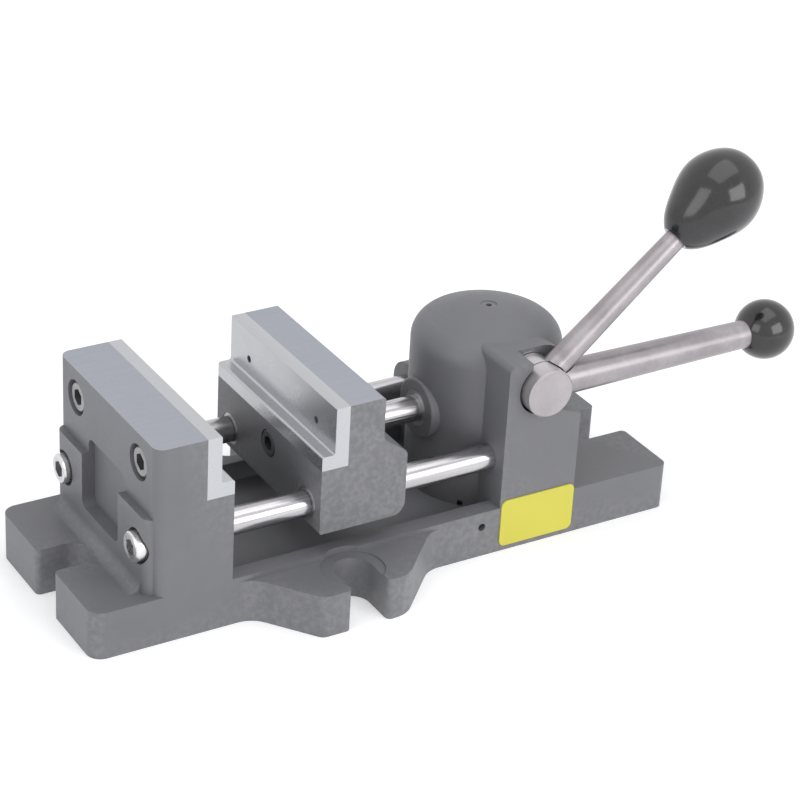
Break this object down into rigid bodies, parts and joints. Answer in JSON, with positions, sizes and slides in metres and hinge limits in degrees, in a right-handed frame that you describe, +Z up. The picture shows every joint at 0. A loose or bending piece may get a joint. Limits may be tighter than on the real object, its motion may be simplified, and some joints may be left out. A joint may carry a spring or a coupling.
{
  "type": "quick-acting machine vise",
  "caption": "Low bench vise with a slotted base, a fixed jaw, a jaw sliding on two rods, a round ram, and a clamping and a release lever on one side.",
  "frame": {"origin": "underside of the base, on the centre line, level with the two side slots", "axes": "+X from the fixed jaw to the levers along the rods, +Y to the side away from the levers, +Z up"},
  "size_m": [0.3783, 0.158, 0.1852],
  "materials": {
    "cast_enamel": "satin",
    "ground_steel": "ground",
    "bright_steel": "polished",
    "plated_steel": "satin",
    "dark_steel": "satin",
    "bush_steel": "satin",
    "black_plastic": "gloss",
    "label_film": "satin"
  },
  "bodies": {
    "base": {"body_casting": "cast_enamel", "fixed_jaw_plate": "ground_steel", "fixed_plate_screws": "dark_steel", "guide_rod_near": "bright_steel", "guide_rod_far": "bright_steel", "guide_rod_screws": "bright_steel", "ram_bush": "bush_steel", "near_shaft_bush": "bush_steel", "far_shaft_bush": "bush_steel", "dog_pivot_pin": "dark_steel", "dog_spring": "dark_steel", "bottom_cover": "dark_steel", "bottom_cover_screws": "dark_steel", "top_plug": "dark_steel", "label_plate": "label_film"},
    "jaw": {"movable_jaw": "cast_enamel", "movable_jaw_plate": "ground_steel", "movable_plate_screws": "dark_steel", "jaw_guide_bushes": "bush_steel", "ram": "bright_steel", "ram_screw": "dark_steel"},
    "clamp": {"clamping_lever": "plated_steel", "ball_knob": "black_plastic", "eccentric_shaft": "bright_steel", "clamping_hub_pin": "dark_steel", "shaft_retaining_ring": "dark_steel"},
    "positioning": {"positioning_lever": "plated_steel", "egg_knob": "black_plastic", "positioning_sleeve": "dark_steel", "positioning_hub_screw": "dark_steel"},
    "dog": {"locking_dog": "dark_steel"}
  },
  "joints": [
    {"name": "jaw_slide", "type": "slide", "parent": "base", "child": "jaw", "axis": [1, 0, 0], "range_m": [-0.0437, 0.0345]},
    {"name": "clamping_lever", "type": "hinge", "parent": "base", "child": "clamp", "pos_m": [0.106, 0, 0.084], "axis": [0, 1, 0], "range_deg": [0, 20]},
    {"name": "positioning_lever", "type": "hinge", "parent": "base", "child": "positioning", "pos_m": [0.106, -0.042, 0.084], "axis": [0, -1, 0], "range_deg": [0, 48]},
    {"name": "dog_tilt", "type": "hinge", "parent": "base", "child": "dog", "pos_m": [0.0918, 0, 0.034], "axis": [0, -1, 0], "range_deg": [0, 2]}
  ],
  "couplings": [
    {"joint": "dog_tilt", "follows": "clamping_lever", "ratio": 0.085}
  ]
}
